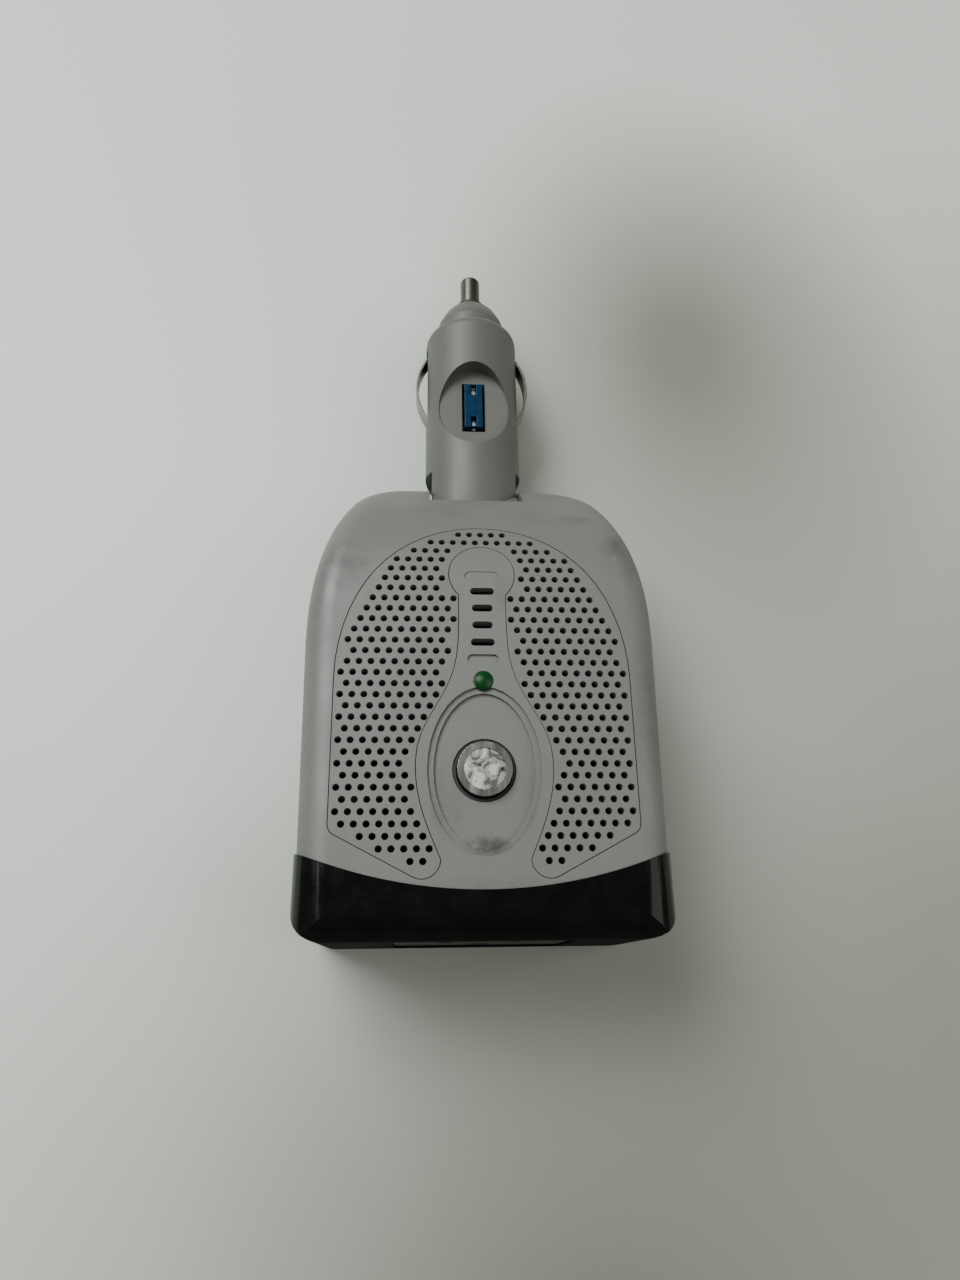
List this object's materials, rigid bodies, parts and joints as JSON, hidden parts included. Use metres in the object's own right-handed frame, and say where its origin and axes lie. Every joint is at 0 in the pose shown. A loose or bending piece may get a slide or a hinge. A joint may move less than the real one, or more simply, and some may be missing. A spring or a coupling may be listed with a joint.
{
  "type": "pocket power inverter",
  "caption": "Pocket car power inverter: a rounded silver housing with a perforated face, push button, black outlet cap, and a tilting lighter plug with a blade fuse.",
  "frame": {"origin": "on the flat back that the part lies on, on the centre line, 46 mm from the outlet end", "axes": "+Z out of the front face, +Y from the outlet end to the plug's tip, +X across the body"},
  "size_m": [0.064, 0.1516, 0.0376],
  "materials": {
    "silver_paint": "warm silver-grey paint on moulded plastic, satin, with handling smudges",
    "plug_paint": "the same silver-grey paint, a little darker and warmer",
    "black_gloss": "gloss black moulded plastic",
    "black_matte": "matt black moulded plastic",
    "dark_ring": "dark phenolic ring",
    "screw_steel": "zinc-plated steel",
    "spring_steel": "spring wire",
    "contact_brass": "stamped brass",
    "contact_steel": "bright strip steel, dulled",
    "lead_insulation": "PVC insulation",
    "green_lamp": "dark green resin, unlit",
    "circuit_board": "green solder mask",
    "ferrite": "dark grey ferrite",
    "coil_tape": "yellow winding tape",
    "copper_wire": "enamelled copper wire",
    "capacitor_sleeve": "shrink sleeve",
    "heat_sink_aluminium": "plain aluminium plate",
    "resistor_coat": "lacquer",
    "button_chrome": "polished chrome plating",
    "button_resin": "silvery foil under clear resin",
    "pin_nickel": "nickel-plated brass, worn",
    "fuse_blue": "translucent blue nylon",
    "fuse_zinc": "bare zinc alloy"
  },
  "bodies": {
    "housing": {"front_shell": "silver_paint", "vent_grille": "silver_paint", "back_shell": "silver_paint", "end_cap": "black_gloss", "housing_screws": "screw_steel", "hinge_pin": "screw_steel", "hinge_washers": "screw_steel", "outlet_insert": "black_matte", "line_contact": "contact_brass", "neutral_contact": "contact_brass", "ground_contact": "contact_brass", "outlet_leads": "lead_insulation", "button_bezel": "black_matte", "button_spring": "spring_steel", "switch_body": "black_matte", "indicator_lamp": "green_lamp", "buzzer": "black_matte", "control_board": "circuit_board", "control_screws": "screw_steel", "board_header": "black_matte", "main_board": "circuit_board", "board_screws": "screw_steel", "transformer_core": "ferrite", "transformer_coil": "coil_tape", "choke_core": "ferrite", "choke_winding": "copper_wire", "input_capacitors": "capacitor_sleeve", "output_capacitor": "capacitor_sleeve", "power_transistors": "black_matte", "heat_sink": "heat_sink_aluminium", "control_chips": "black_matte", "resistors": "resistor_coat", "housing_leads": "lead_insulation"},
    "plug": {"plug_front_half": "plug_paint", "plug_back_half": "plug_paint", "plug_screw": "screw_steel", "nose_collar": "plug_paint", "nose_ring": "dark_ring", "pin_spring": "spring_steel", "pin_seat": "contact_brass", "side_contact_bridge": "contact_brass", "fuse_body": "fuse_blue", "fuse_blades": "fuse_zinc", "fuse_clips": "contact_brass", "plug_leads": "lead_insulation"},
    "button": {"button_cap": "button_chrome", "button_insert": "button_resin"},
    "tip": {"centre_pin": "pin_nickel"},
    "left_contact": {"left_side_contact": "contact_steel"},
    "right_contact": {"right_side_contact": "contact_steel"}
  },
  "joints": [
    {"name": "plug_tilt", "type": "hinge", "parent": "housing", "child": "plug", "pos_m": [0, 0.035, 0.0145], "axis": [1, 0, 0], "range_deg": [-90, 0]},
    {"name": "button_press", "type": "slide", "parent": "housing", "child": "button", "axis": [0, 0, -1], "range_m": [0, 0.0015], "stiffness_N_per_m": 600, "springref_m": -0.0008, "deforming": ["button_spring"]},
    {"name": "pin_press", "type": "slide", "parent": "plug", "child": "tip", "axis": [0, -1, 0], "range_m": [0, 0.0016], "stiffness_N_per_m": 900, "springref_m": -0.0015, "deforming": ["pin_spring"]},
    {"name": "left_contact_press", "type": "slide", "parent": "plug", "child": "left_contact", "axis": [1, 0, 0], "range_m": [0, 0.0016], "stiffness_N_per_m": 900, "springref_m": -0.0008},
    {"name": "right_contact_press", "type": "slide", "parent": "plug", "child": "right_contact", "axis": [-1, 0, 0], "range_m": [0, 0.0016], "stiffness_N_per_m": 900, "springref_m": -0.0008}
  ]
}
